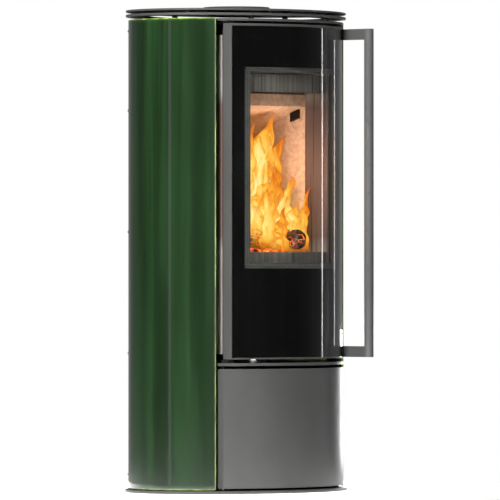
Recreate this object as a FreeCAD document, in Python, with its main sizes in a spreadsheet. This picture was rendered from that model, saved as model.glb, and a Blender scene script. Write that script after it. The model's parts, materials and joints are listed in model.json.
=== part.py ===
import FreeCAD, Part
import math
import os
import re
import Sketcher

# Free-standing wood burning stove on a four-centre oval plan.
# Origin: centre of the plan on the floor. Front is -Y, up is +Z, +X is the handle side. Millimetres.

doc = FreeCAD.newDocument("Stove")
os.makedirs("parts", exist_ok=True)
V = FreeCAD.Vector

# ---------------------------------------------------------------- driving sizes
SIZES = [
    # plan outline: four tangent arcs
    ("half_width", "298"),
    ("half_depth", "221"),
    ("side_radius", "181.6"),
    ("side_centre", "=half_width - side_radius"),
    ("front_radius", "=(half_depth*half_depth + side_centre*side_centre - side_radius*side_radius)"
                     " / (2*(half_depth - side_radius))"),
    ("front_centre", "=front_radius - half_depth"),
    # levels
    ("base_top", "7"),
    ("panel_low", "12.4"),
    ("panel_high", "295"),
    ("shelf_low", "302.2"),
    ("shelf_high", "308.9"),
    ("door_low", "318"),
    ("door_high", "1112.6"),
    ("trim_low", "1118.5"),
    ("trim_high", "1124.4"),
    ("ring_low", "1131.7"),
    ("ring_high", "1137.6"),
    ("top_low", "1143.2"),
    ("top_high", "1148"),
    ("cover_high", "1159"),
    ("side_low", "8.5"),
    ("side_high", "1125"),
    # casing
    ("base_overhang", "8"),
    ("top_overhang", "6"),
    ("ring_width", "46"),
    ("spacer_rad", "7"),
    ("side_skin", "6"),
    ("side_edge", "139.1"),
    ("post_inner", "218.9"),
    ("post_outer", "229"),
    ("post_front", "128"),
    ("post_back", "98"),
    ("post_wall", "3"),
    ("rear_half", "221"),
    ("rear_skin", "2"),
    ("cover_rad", "80"),
    ("plug_rad", "70"),
    ("top_hole_rad", "72"),
    # fire door
    ("door_half", "204.7"),
    ("door_return", "136.6"),
    ("rim", "3"),
    ("glass_skin", "4"),
    ("print_front", "4.3"),
    ("print_back", "5"),
    ("tray_face", "5.4"),
    ("frame_back", "17.5"),
    ("glass_half", "=door_half - rim"),
    ("glass_low", "=door_low + 3.3"),
    ("glass_high", "=door_high - 5.8"),
    ("window_half", "171.8"),
    ("window_low", "532.6"),
    ("window_high", "1009.8"),
    ("rope_width", "13.8"),
    ("rope_back", "9.6"),
    ("seal_outer", "192"),
    ("seal_inner", "184"),
    ("seal_back", "26.9"),
    ("hinge_x", "-198.5"),
    ("hinge_y", "-146.5"),
    ("hinge_rad", "3.5"),
    ("running_gap", "0.05"),
    # handle and latch
    ("handle_x", "209.2"),
    ("handle_y", "-239.3"),
    ("handle_rad", "11.5"),
    ("latch_y", "-148"),
    ("latch_rad", "3"),
    ("handle_low", "320"),
    ("handle_high", "1108"),
    ("bracket_tall", "26"),
    ("bracket_half", "3.5"),
    ("cam_low", "500"),
    ("cam_high", "900"),
    ("cam_tall", "12"),
    # firebox
    ("shell_half", "195"),
    ("shell_back", "150"),
    ("shell_wall", "5"),
    ("fire_low", "330"),
    ("fire_high", "1085"),
    ("plate_front", "27.6"),
    ("plate_back", "32.6"),
    ("plate_half", "196"),
    ("mouth_half", "181"),
    ("mouth_low", "430"),
    ("mouth_high", "1012"),
    ("hearth_low", "530"),
    ("hearth_top", "538"),
    ("brick_top", "558"),
    ("lining_face", "165"),
    ("lining_front", "-75"),
    ("lining_rear", "110"),
    ("lining_top", "1000"),
    ("baffle_lip", "922"),
    ("baffle_front_tall", "29"),
    ("baffle_slope", "20"),
    ("rest_tall", "21"),
    ("grate_half_x", "70"),
    ("grate_half_y", "60"),
    # flue and air
    ("flue_rad", "75"),
    ("flue_wall", "3"),
    ("flue_level", "985"),
    ("flue_end", "238"),
    ("inlet_rad", "50"),
    ("inlet_wall", "2"),
    ("inlet_level", "385"),
    ("inlet_end", "232"),
    # wood store
    ("store_half", "206"),
    ("store_front", "-118"),
    ("store_back", "128"),
    ("store_wall", "2"),
    ("panel_half", "218.7"),
    ("panel_skin", "2.5"),
    ("panel_return", "132.2"),
    ("panel_pivot_x", "-211.5"),
    ("panel_pivot_y", "-141"),
    ("panel_pivot_rad", "3"),
]

sheet = doc.addObject("Spreadsheet::Sheet", "Sizes")
for row, (alias, value) in enumerate(SIZES, start=1):
    sheet.set("A%d" % row, alias)
    sheet.set("B%d" % row, value)
    sheet.setAlias("B%d" % row, alias)
doc.recompute()
NAMES = {alias for alias, _ in SIZES}


def formula(text):
    """Turn bare size names into references to the sheet."""
    return re.sub(r"[a-z]\w*", lambda m: "Sizes." + m.group() if m.group() in NAMES else m.group(), str(text))


def size(alias):
    return float(sheet.get(alias))


def bind(obj, **rules):
    for name, text in rules.items():
        obj.setExpression(name, formula(text))


def place(obj, x="0", y="0", z="0"):
    obj.setExpression(".Placement.Base.x", formula(x))
    obj.setExpression(".Placement.Base.y", formula(y))
    obj.setExpression(".Placement.Base.z", formula(z))


# ---------------------------------------------------------------- solids
def block(name, xs, ys, zs):
    """Rectangular solid between pairs of size formulas."""
    item = doc.addObject("Part::Box", name)
    bind(item, Length="(%s) - (%s)" % (xs[1], xs[0]),
         Width="(%s) - (%s)" % (ys[1], ys[0]),
         Height="(%s) - (%s)" % (zs[1], zs[0]))
    place(item, xs[0], ys[0], zs[0])
    return item


def mid(half):
    return ("-(%s)" % half, half)


def rod(name, x, y, zs, radius):
    """Upright cylinder."""
    item = doc.addObject("Part::Cylinder", name)
    bind(item, Radius=radius, Height="(%s) - (%s)" % (zs[1], zs[0]))
    place(item, x, y, zs[0])
    return item


def rod_y(name, x, z, ys, radius):
    """Cylinder lying front to back."""
    item = doc.addObject("Part::Cylinder", name)
    item.Placement = FreeCAD.Placement(V(0, 0, 0), FreeCAD.Rotation(V(1, 0, 0), -90))
    bind(item, Radius=radius, Height="(%s) - (%s)" % (ys[1], ys[0]))
    place(item, x, ys[0], z)
    return item


def cut(name, base, *tools):
    tool = tools[0] if len(tools) == 1 else fuse(name + "_tools", *tools)
    item = doc.addObject("Part::Cut", name)
    item.Base = base
    item.Tool = tool
    return item


def fuse(name, *items):
    item = doc.addObject("Part::MultiFuse", name)
    item.Shapes = list(items)
    item.Refine = True
    return item


def common(name, *items):
    item = doc.addObject("Part::MultiCommon", name)
    item.Shapes = list(items)
    return item


def group(name, *items):
    """Separate identical solids under one node."""
    item = doc.addObject("Part::Compound", name)
    item.Links = list(items)
    return item


def mirrored(name, source):
    item = doc.addObject("Part::Mirroring", name)
    item.Source = source
    item.Normal = V(1, 0, 0)
    item.Base = V(0, 0, 0)
    return item


def arc_disc(name, offset, zs, rear=False):
    """Large disc whose rim is the front (or rear) arc of the plan, moved out by offset."""
    centre = "-front_centre" if rear else "front_centre"
    return rod(name, "0", centre, zs, "front_radius + (%s)" % offset)


def front_band(name, outer, inner, xs, zs, rear=False):
    """Curved plate between two depths behind the plan outline."""
    ring = cut(name + "_ring", arc_disc(name + "_out", outer, zs, rear), arc_disc(name + "_in", inner, zs, rear))
    ys = ("0", "half_depth + 30") if rear else ("-half_depth - 30", "0")
    return common(name, ring, block(name + "_span", xs, ys, zs))


def lens(name, front, rear, half_x, zs):
    """Plate with curved front and rear edges and straight sides."""
    span = block(name + "_span", mid(half_x), mid("half_depth + 30"), zs)
    return common(name, arc_disc(name + "_f", front, zs), arc_disc(name + "_r", rear, zs, True), span)


def side_band(name, sign, outer, inner, half_y, zs):
    """Curved plate round one side of the plan. sign is 1 on the handle side, -1 on the other."""
    centre = "%d * side_centre" % sign
    ring = cut(name + "_ring", rod(name + "_out", centre, "0", zs, "side_radius + (%s)" % outer),
               rod(name + "_in", centre, "0", zs, "side_radius + (%s)" % inner))
    xs = ("side_centre", "half_width + 30") if sign > 0 else ("-half_width - 30", "-side_centre")
    return common(name, ring, block(name + "_span", xs, mid(half_y), zs))


def oval_loop(sketch, offset, tag):
    """Four tangent arcs: right, rear, left, front. Radii and centres follow the sheet."""
    start = sketch.GeometryCount
    centre_x = size("side_centre")
    centre_y = size("front_centre")
    gap = sketch_value(offset)
    side = size("side_radius") + gap
    front = size("front_radius") + gap
    turn = math.atan2(centre_y, centre_x)
    arcs = [
        (V(centre_x, 0, 0), side, -turn, turn),
        (V(0, -centre_y, 0), front, turn, math.pi - turn),
        (V(-centre_x, 0, 0), side, math.pi - turn, math.pi + turn),
        (V(0, centre_y, 0), front, math.pi + turn, 2 * math.pi - turn),
    ]
    for centre, radius, first, last in arcs:
        sketch.addGeometry(Part.ArcOfCircle(Part.Circle(centre, V(0, 0, 1), radius), first, last), False)
    for k in range(4):
        sketch.addConstraint(Sketcher.Constraint("Tangent", start + k, 2, start + (k + 1) % 4, 1))
    right, rear, left, ahead = range(start, start + 4)
    sketch.addConstraint(Sketcher.Constraint("PointOnObject", right, 3, -1))
    sketch.addConstraint(Sketcher.Constraint("Symmetric", right, 3, left, 3, -2))
    sketch.addConstraint(Sketcher.Constraint("PointOnObject", rear, 3, -2))
    sketch.addConstraint(Sketcher.Constraint("Equal", rear, ahead))
    rules = [
        (Sketcher.Constraint("DistanceX", -1, 1, right, 3, centre_x), "side_centre"),
        (Sketcher.Constraint("Radius", right, side), "side_radius + (%s)" % offset),
        (Sketcher.Constraint("Radius", rear, front), "front_radius + (%s)" % offset),
    ]
    for k, (rule, text) in enumerate(rules):
        index = sketch.addConstraint(rule)
        sketch.renameConstraint(index, "%s_%d" % (tag, k))
        sketch.setExpression("Constraints.%s_%d" % (tag, k), formula(text))


def sketch_value(text):
    """Value of a size formula, used only to draw the sketch near its solved shape."""
    words = re.sub(r"[a-z]\w*", lambda m: repr(size(m.group())), text)
    total = 0.0
    for term in re.findall(r"[+-]?\s*[\d.]+", words):
        total += float(term.replace(" ", ""))
    return total


def oval_plate(name, zs, outer, inner=None):
    """Oval plate, or an oval ring when inner is given, as a padded sketch."""
    body = doc.addObject("PartDesign::Body", name)
    sketch = body.newObject("Sketcher::SketchObject", name + "_outline")
    plane = [f for f in body.Origin.OriginFeatures if f.Role == "XY_Plane"][0]
    sketch.AttachmentSupport = [(plane, "")]
    sketch.MapMode = "FlatFace"
    sketch.setExpression(".AttachmentOffset.Base.z", formula(zs[0]))
    oval_loop(sketch, outer, "outer")
    if inner is not None:
        oval_loop(sketch, inner, "inner")
    doc.recompute()
    pad = body.newObject("PartDesign::Pad", name + "_pad")
    pad.Profile = sketch
    bind(pad, Length="(%s) - (%s)" % (zs[1], zs[0]))
    doc.recompute()
    return body


nodes = []


def node(name, item):
    """Mark a finished object as one node of the assembly."""
    item.Label = name
    nodes.append(item)
    return item


# ---------------------------------------------------------------- casing
def around(name, angles, zs, radius, inset):
    """Upright discs spaced round the oval, inset from its edge."""
    items = []
    for k, angle in enumerate(angles):
        turn = math.radians(angle)
        x = "(half_width - %s) * %.6f" % (inset, math.cos(turn))
        y = "(half_depth - %s) * %.6f" % (inset, math.sin(turn))
        items.append(rod("%s_%d" % (name, k), x, y, zs, radius))
    return items


def make_casing():
    node("base_plate", oval_plate("base_plate", ("0", "base_top"), "base_overhang"))
    levels = ("side_low", "side_high")
    node("side_panel_left", side_band("side_panel_left", -1, "0", "-side_skin", "side_edge", levels))
    node("side_panel_right", side_band("side_panel_right", 1, "0", "-side_skin", "side_edge", levels))

    posts = {"front": [], "rear": []}
    for side in (-1, 1):
        for end in (-1, 1):
            tag = "%s_post_%s" % ("front" if end < 0 else "rear", "left" if side < 0 else "right")
            zs = ("base_top", "trim_low")
            x_web = ("post_inner", "post_inner + post_wall")
            x_leg = ("post_inner", "post_outer")
            y_web = ("post_back", "post_front")
            y_leg = ("post_front - post_wall", "post_front")
            web = block(tag + "_web", flip(x_web, side), flip(y_web, end), zs)
            leg = block(tag + "_leg", flip(x_leg, side), flip(y_leg, end), zs)
            posts["front" if end < 0 else "rear"].append(fuse(tag, web, leg))
    node("front_posts", group("front_posts", *posts["front"]))
    node("rear_posts", group("rear_posts", *posts["rear"]))

    hangers = []
    for side in (-1, 1):
        for end in (-1, 1):
            for level in ("60", "560", "1040"):
                xs = flip(("post_inner + post_wall", "post_inner + 27"), side)
                ys = flip(("post_front - 22", "post_front - 10"), end)
                hangers.append(block("hanger_%d" % len(hangers), xs, ys, (level, level + " + 20")))
    node("panel_hangers", group("panel_hangers", *hangers))

    node("shelf_plate", lens("shelf_plate", "0", "-rear_skin - 0.4", "panel_half", ("shelf_low", "shelf_high")))
    trim = lens("trim_blank", "0", "-rear_skin - 0.4", "panel_half", ("trim_low", "trim_high"))
    trim_hole = rod("trim_hole", "0", "0", ("trim_low - 1", "trim_high + 1"), "flue_rad + 8")
    node("top_trim_plate", cut("top_trim_plate", trim, trim_hole))

    angles = (20, 90, 160, 200, 250, 290, 340)
    node("top_ring", oval_plate("top_ring", ("ring_low", "ring_high"), "top_overhang", "top_overhang - ring_width"))
    node("ring_spacers", group("ring_spacers", *around("ring_spacer", (60, 120, 240, 300),
                                                       ("trim_high", "ring_low"), "spacer_rad", 36)))
    node("top_spacers", group("top_spacers", *around("top_spacer", angles,
                                                     ("ring_high", "top_low"), "spacer_rad", 24)))
    top_hole = rod("top_hole", "0", "0", ("top_low - 1", "top_high + 1"), "top_hole_rad")
    node("top_plate", cut("top_plate", oval_plate("top_blank", ("top_low", "top_high"), "top_overhang"), top_hole))


def flip(pair, sign):
    """The same span on the other side of the origin plane."""
    return pair if sign > 0 else ("-(%s)" % pair[1], "-(%s)" % pair[0])


def make_rear():
    blank = front_band("rear_blank", "0", "-rear_skin", mid("rear_half"), ("side_low", "trim_low - 1"), True)
    ys = ("half_depth - 90", "half_depth + 10")
    holes = [
        rod_y("rear_flue_hole", "0", "flue_level", ys, "flue_rad + 5"),
        rod_y("rear_inlet_hole", "0", "inlet_level", ys, "inlet_rad + 4"),
    ]
    for side in (-1, 1):
        for k in range(6):
            xs = flip(("60", "150"), side)
            low = "560 + %d" % (k * 30)
            holes.append(block("rear_slot_%d_%d" % (side + 1, k), xs, ys, (low, low + " + 8")))
    node("rear_panel", cut("rear_panel", blank, *holes))
    screws = []
    for side in (-1, 1):
        for level in ("40", "330", "620", "910", "1100"):
            xs = "%d * (rear_half - 16)" % side
            screws.append(rod_y("rear_screw_%d" % len(screws), xs, level, ("154", "163"), "4"))
    node("rear_panel_screws", group("rear_panel_screws", *screws))


# ---------------------------------------------------------------- firebox
def sloped_slab(name, tall, lip):
    """Slab falling to the rear at the baffle's slope; its underside is at the lip height at the lining's front."""
    slab = doc.addObject("Part::Box", name)
    slab.Placement = FreeCAD.Placement(V(0, 0, 0), FreeCAD.Rotation(V(-1, 0, 0), 10))
    slab.setExpression(".Placement.Rotation.Angle", formula("baffle_slope * 1deg"))
    bind(slab, Length="2 * lining_face - 0.8", Width="400", Height="%s * cos(baffle_slope * 1deg)" % tall)
    place(slab, "-lining_face + 0.4", "lining_front - 60", "%s + 60 * tan(baffle_slope * 1deg)" % lip)
    return slab


def make_firebox():
    inner_z = ("fire_low + shell_wall", "fire_high - shell_wall")
    floor_z = ("fire_low", "fire_low + shell_wall")
    roof_z = ("fire_high - shell_wall", "fire_high")
    depth = ("-half_depth", "shell_back")
    ys = ("shell_back - 20", "shell_back + 5")
    floor = common("shell_floor", block("floor_box", mid("shell_half"), depth, floor_z),
                   arc_disc("floor_line", "-plate_back", floor_z))
    roof = common("shell_roof_blank", block("roof_box", mid("shell_half"), depth, roof_z),
                  arc_disc("roof_line", "-plate_back", roof_z))
    roof = cut("shell_roof", roof, rod("shell_top_port", "0", "0", ("fire_high - 20", "fire_high + 5"),
                                       "flue_rad - flue_wall"))
    walls = [common("shell_side_%d" % (s + 1), block("side_box_%d" % (s + 1),
                                                     flip(("shell_half - shell_wall", "shell_half"), s), depth, inner_z),
                    arc_disc("side_line_%d" % (s + 1), "-plate_back", inner_z)) for s in (-1, 1)]
    back = cut("shell_rear", block("rear_box", mid("shell_half - shell_wall"),
                                   ("shell_back - shell_wall", "shell_back"), inner_z),
               rod_y("shell_flue_port", "0", "flue_level", ys, "flue_rad - flue_wall"),
               rod_y("shell_air_port", "0", "inlet_level", ys, "inlet_rad - inlet_wall"))
    node("firebox_shell", group("firebox_shell", floor, roof, back, *walls))

    face = front_band("firebox_face", "-plate_front", "-plate_back", mid("plate_half"), ("fire_low", "fire_high + 12"))
    mouth = block("firebox_mouth", mid("mouth_half"), ("-half_depth", "0"), ("mouth_low", "mouth_high"))
    node("firebox_front", cut("firebox_front", face, mouth))

    deck = common("hearth_deck", block("hearth_box", mid("shell_half - shell_wall - 0.3"),
                                       ("-half_depth", "shell_back - shell_wall - 0.3"),
                                       ("hearth_low", "hearth_top")),
                  arc_disc("hearth_line", "-plate_back - 0.3", ("hearth_low", "hearth_top")))
    well = block("hearth_well", mid("grate_half_x - 10"), mid("grate_half_y - 10"), ("hearth_low - 5", "hearth_top + 5"))
    node("hearth_plate", cut("hearth_plate", deck, well))

    bricks = block("brick_blank", mid("lining_face - 0.4"), ("-110", "lining_rear - 0.4"), ("hearth_top", "brick_top"))
    seat = block("brick_seat", mid("grate_half_x + 0.5"), mid("grate_half_y + 0.5"), ("hearth_top - 1", "brick_top + 1"))
    node("hearth_bricks", cut("hearth_bricks", bricks, seat))

    plate = block("grate_blank", mid("grate_half_x"), mid("grate_half_y"), ("hearth_top", "hearth_top + 14"))
    slots = []
    for k in range(-4, 5):
        slots.append(block("grate_slot_%d" % (k + 4), mid("grate_half_x - 14"), ("%d" % (k * 12 - 3), "%d" % (k * 12 + 3)),
                           ("hearth_top - 1", "hearth_top + 15")))
    node("grate", cut("grate", plate, *slots))

    walls = ("hearth_top", "lining_top")
    spans = ("lining_face", "shell_half - shell_wall - 0.4")
    ys = ("lining_front", "lining_rear - 0.4")
    right = node("lining_right", block("lining_right", spans, ys, walls))
    node("lining_left", mirrored("lining_left", right))
    back_top = "baffle_lip - (lining_rear - lining_front) * tan(baffle_slope * 1deg)"
    node("lining_back", block("lining_back", mid("shell_half - shell_wall - 0.4"),
                              ("lining_rear", "shell_back - shell_wall - 0.4"), ("hearth_top", back_top)))

    slab = sloped_slab("baffle_slab", "baffle_front_tall", "baffle_lip")
    trim = block("baffle_trim", mid("lining_face"), ("lining_front", "lining_rear - 0.4"), ("600", "fire_high"))
    node("baffle_plate", common("baffle_plate", slab, trim))
    rests = []
    for s in (-1, 1):
        bar = sloped_slab("rest_bar_%d" % s, "rest_tall", "baffle_lip - 0.3 - rest_tall")
        bounds = block("rest_bounds_%d" % s, flip(("lining_face - 10", "lining_face - 0.3"), s),
                       ("lining_front + 15", "lining_front + 39"), ("600", "fire_high"))
        rests.append(common("baffle_rest_%d" % s, bar, bounds))
    node("baffle_brackets", group("baffle_brackets", *rests))

    node("air_deflector", front_band("air_deflector", "-plate_back - 4", "-plate_back - 7", mid("mouth_half - 4"),
                                     ("952", "994")))
    node("log_retainer", front_band("log_retainer", "-plate_back - 4", "-plate_back - 8", mid("mouth_half - 10"),
                                    ("hearth_top", "572")))
    cheek = doc.addObject("Part::Box", "cheek_right")
    cheek.Placement = FreeCAD.Placement(V(0, 0, 0), FreeCAD.Rotation(V(0, 0, 1), -68.7))
    bind(cheek, Length="57", Width="3", Height="lining_top - hearth_top")
    place(cheek, "lining_face", "lining_front - 1.6", "hearth_top")
    node("cheek_right", cheek)
    node("cheek_left", mirrored("cheek_left", cheek))


def make_ash_pan():
    pan = block("pan_outer", mid("120"), ("-110", "90"), ("447", "512"))
    inside = block("pan_inside", mid("118"), ("-108", "88"), ("449", "513"))
    tray = cut("pan_tray", pan, inside)
    tab = block("pan_tab", mid("30"), ("-122", "-110"), ("492", "495"))
    node("ash_pan", fuse("ash_pan", tray, tab))
    rails = []
    for side in (-1, 1):
        low = block("rail_low_%d" % side, flip(("100", "124"), side), ("-115", "120"), ("443", "446.6"))
        wall = block("rail_wall_%d" % side, flip(("120.6", "124"), side), ("-115", "120"), ("443", "462"))
        leg = block("rail_leg_%d" % side, flip(("120.6", "124"), side), ("-60", "60"), ("fire_low + shell_wall", "443"))
        rails.append(fuse("rail_%d" % (side + 1), low, wall, leg))
    node("ash_pan_rails", group("ash_pan_rails", *rails))


def make_fire():
    mound = doc.addObject("Part::Ellipsoid", "ember_mound")
    bind(mound, Radius1="17", Radius2="138", Radius3="90")
    place(mound, "0", "-8", "brick_top + 0.3")
    top = block("ember_cap", mid("150"), mid("110"), ("brick_top + 0.3", "brick_top + 60"))
    node("ember_bed", common("ember_bed", mound, top))
    for name, x, y, z, turn, long, radius in (("log_front", "-25", "-46", "605", 4, "200", "28"),
                                              ("log_rear", "118", "-19", "602", 87, "178", "26")):
        log = doc.addObject("Part::Cylinder", name + "_round")
        log.Placement = FreeCAD.Placement(V(0, 0, 0), FreeCAD.Rotation(turn, 90, 0))
        bind(log, Radius=radius, Height=long)
        reach = "(%s) / 2" % long
        place(log, "%s - %s * %.6f" % (x, reach, math.cos(math.radians(turn))),
              "%s - %s * %.6f" % (y, reach, math.sin(math.radians(turn))), z)
        node(name, log)


# ---------------------------------------------------------------- flue and air
def make_flue():
    pipe = rod_y("spigot_pipe", "0", "flue_level", ("shell_back", "flue_end"), "flue_rad")
    flange = rod_y("spigot_flange", "0", "flue_level", ("shell_back", "shell_back + 3"), "flue_rad + 16")
    bore = rod_y("spigot_bore", "0", "flue_level", ("shell_back - 5", "flue_end + 5"), "flue_rad - flue_wall")
    node("flue_spigot", cut("flue_spigot", fuse("spigot_solid", pipe, flange), bore))

    pipe = rod_y("inlet_pipe", "0", "inlet_level", ("shell_back", "inlet_end"), "inlet_rad")
    flange = rod_y("inlet_flange", "0", "inlet_level", ("shell_back", "shell_back + 2"), "inlet_rad + 12")
    bore = rod_y("inlet_bore", "0", "inlet_level", ("shell_back - 5", "inlet_end + 5"), "inlet_rad - inlet_wall")
    node("air_inlet_stub", cut("air_inlet_stub", fuse("inlet_solid", pipe, flange), bore))

    collar = cut("top_collar", rod("collar_out", "0", "0", ("fire_high", "fire_high + 27"), "flue_rad"),
                 rod("collar_in", "0", "0", ("fire_high - 1", "fire_high + 28"), "flue_rad - flue_wall"))
    node("top_outlet_collar", collar)
    lid = rod("lid_disc", "0", "0", ("fire_high + 27", "fire_high + 30"), "flue_rad + 4")
    node("outlet_lid", lid)

    disc = rod("cover_disc", "0", "0", ("top_high + 0.3", "cover_high"), "cover_rad")
    plug = rod("cover_plug", "0", "0", ("top_low - 6", "top_high + 0.3"), "plug_rad")
    dish = rod("cover_dish", "0", "0", ("top_low - 7", "top_high - 2"), "plug_rad - 3")
    solid = cut("cover_solid", fuse("cover_body", disc, plug), dish)
    doc.recompute()
    rims = [k for k, e in enumerate(solid.Shape.Edges, start=1)
            if e.Closed and abs(e.BoundBox.ZMax - size("cover_high")) < 0.01 and e.BoundBox.ZLength < 0.01]
    edge = doc.addObject("Part::Fillet", "flue_cover")
    edge.Base = solid
    edge.Edges = [(k, 2.0, 2.0) for k in rims]
    node("flue_cover", edge)


def make_air_control():
    """Slide valve under the firebox, worked by a knob inside the wood store."""
    levels = ("fire_low - 8", "fire_low - 5")
    node("air_slide", fuse("air_slide", block("slide_plate", ("-60", "60"), ("-110", "40"), levels),
                           rod("slide_stem", "0", "-100", ("290", "fire_low - 5"), "4")))
    node("air_knob", rod("air_knob", "0", "-100", ("272", "290"), "11"))
    slot_y = ("-106", "-34")
    return slot_y


# ---------------------------------------------------------------- wood store
def make_store():
    outer = block("store_outer", mid("store_half"), ("store_front", "store_back"), ("base_top + 0.2", "300"))
    inner = block("store_inner", mid("store_half - store_wall"), ("store_front - 5", "store_back - store_wall"),
                  ("base_top + 0.2 + store_wall", "300 - store_wall"))
    node("store_box", cut("store_box", outer, inner))

    levels = ("panel_low", "panel_high")
    skin = front_band("panel_face", "0", "-panel_skin", mid("panel_half"), levels)
    parts = [skin]
    for side in (-1, 1):
        xs = flip(("panel_half - panel_skin", "panel_half"), side)
        blank = block("panel_edge_%d" % side, xs, ("-half_depth", "-panel_return"), levels)
        parts.append(common("panel_return_%d" % side, blank, arc_disc("panel_line_%d" % side, "0", levels)))
    for k, zs in enumerate((("panel_low", "panel_low + 2"), ("panel_high - 2", "panel_high"))):
        parts.append(front_band("panel_lip_%d" % k, "0", "-14", mid("panel_half"), zs))
    pin_holes = [rod("lip_hole_%d" % k, "panel_pivot_x", "panel_pivot_y", (z + " - 3", z + " + 3"),
                     "panel_pivot_rad + 0.5") for k, z in enumerate(levels)]
    node("store_panel", cut("store_panel", fuse("store_solid", *parts), *pin_holes))

    lugs = []
    pins = []
    spans = ((("panel_low + 2", "panel_low + 14"), ("base_top", "panel_low + 12")),
             (("panel_high - 14", "panel_high - 2"), ("panel_high - 12", "shelf_low")))
    for k, (lug_z, pin_z) in enumerate(spans):
        lug = block("lug_%d" % k, ("panel_pivot_x - 4.6", "panel_pivot_x + 6"),
                    ("panel_pivot_y - 5.4", "panel_pivot_y + 6"), lug_z)
        hole = rod("lug_hole_%d" % k, "panel_pivot_x", "panel_pivot_y",
                   (lug_z[0] + " - 1", lug_z[1] + " + 1"), "panel_pivot_rad + running_gap")
        lugs.append(cut("panel_lug_%d" % k, lug, hole))
        pins.append(rod("panel_pin_%d" % k, "panel_pivot_x", "panel_pivot_y", pin_z, "panel_pivot_rad"))
    node("panel_lugs", group("panel_lugs", *lugs))
    node("panel_pins", group("panel_pins", *pins))
    magnets = [block("magnet_%d" % k, ("150", "180"), ("-128", "store_front"), (low, low + " + 12"))
               for k, low in enumerate(("30", "268"))]
    node("magnet_catches", group("magnet_catches", *magnets))


# ---------------------------------------------------------------- fire door
def window_block(name, grow, depth=("-half_depth - 10", "0")):
    """Block through the window, larger than the clear opening by grow on every side."""
    return block(name, mid("window_half + (%s)" % grow), depth,
                 ("window_low - (%s)" % grow, "window_high + (%s)" % grow))


def make_fire_door():
    levels = ("door_low", "door_high")
    blank = front_band("tray_blank", "0", "-frame_back", mid("door_half"), levels)
    bed = front_band("tray_bed", "1", "-tray_face", mid("glass_half + 0.3"), ("glass_low - 0.3", "glass_high + 0.3"))
    opening = window_block("tray_window", "1 - rope_width")
    channel = common("tray_channel", window_block("channel_block", "3.6"),
                     front_band("channel_band", "0", "-rope_back - 0.2", mid("door_half"), levels))
    hollows = []
    for k, (half, zs) in enumerate((("172", ("door_low + 14", "405")), ("172", ("442", "520")),
                                    ("172", ("1040", "door_high - 14")))):
        hollows.append(front_band("tray_hollow_%d" % k, "-tray_face - 3.5", "-frame_back - 1", mid(half), zs))
    frame = cut("tray", blank, bed, opening, channel, *hollows)

    parts = [frame]
    for side in (-1, 1):
        xs = flip(("glass_half + 0.3", "door_half"), side)
        blank = block("door_edge_%d" % side, xs, ("-half_depth", "-door_return"), levels)
        parts.append(common("door_return_%d" % side, blank, arc_disc("door_line_%d" % side, "0", levels)))
    for k, zs in enumerate((("door_low", "door_low + 26"), ("door_high - 26", "door_high"))):
        parts.append(block("door_boss_%d" % k, ("-door_half", "-door_half + 13.5"),
                           ("hinge_y - 3", "-door_return - 2"), zs))
    solid = fuse("door_solid", *parts)
    cuts = [
        rod("hinge_bore_low", "hinge_x", "hinge_y", ("door_low - 1", "door_low + 24"), "hinge_rad + running_gap"),
        rod("hinge_bore_high", "hinge_x", "hinge_y", ("door_high - 24", "door_high + 1"), "hinge_rad + running_gap"),
    ]
    for k, low in enumerate(("cam_low", "cam_high")):
        cuts.append(block("cam_notch_%d" % k, ("door_half - 4", "door_half + 1"), ("-146", "-135"),
                          (low + " - 3", low + " + cam_tall + 3")))
    node("door_frame", cut("door_frame", solid, *cuts))

    span = mid("glass_half")
    node("door_glass", front_band("door_glass", "0", "-glass_skin", span, ("glass_low", "glass_high")))
    printed = front_band("print_blank", "-print_front", "-print_back", span, ("glass_low", "glass_high"))
    node("glass_print", cut("glass_print", printed, window_block("print_window", "0")))

    rope = common("rope_blank", window_block("rope_block", "3.4"),
                  front_band("rope_band", "-tray_face", "-rope_back", mid("door_half"), levels))
    node("window_gasket", cut("window_gasket", rope, window_block("rope_window", "-rope_width")))

    seal = front_band("seal_band", "-frame_back", "-seal_back", mid("seal_outer"), ("414", "1028"))
    inside = block("seal_inside", mid("seal_inner"), ("-half_depth", "0"), ("mouth_low - 8", "mouth_high + 8"))
    node("door_gasket", cut("door_gasket", seal, inside))

    clips = []
    for side in (-1, 1):
        for level in ("600", "760", "920"):
            clips.append(front_band("clip_%d" % len(clips), "-frame_back", "-frame_back - 2",
                                    flip(("window_half - 10", "window_half + 8"), side), (level, level + " + 22")))
    node("glass_clips", group("glass_clips", *clips))

    bearings = []
    for level in ("440", "700", "980"):
        k = len(bearings)
        lug = block("bearing_%d" % k, ("door_half", "handle_x + 4.6"), ("latch_y - 5", "latch_y + 5"),
                    (level, level + " + 12"))
        hole = rod("bearing_hole_%d" % k, "handle_x", "latch_y", (level + " - 1", level + " + 13"),
                   "latch_rad + running_gap")
        bearings.append(cut("handle_bearing_%d" % k, lug, hole))
    node("handle_bearings", group("handle_bearings", *bearings))


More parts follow.
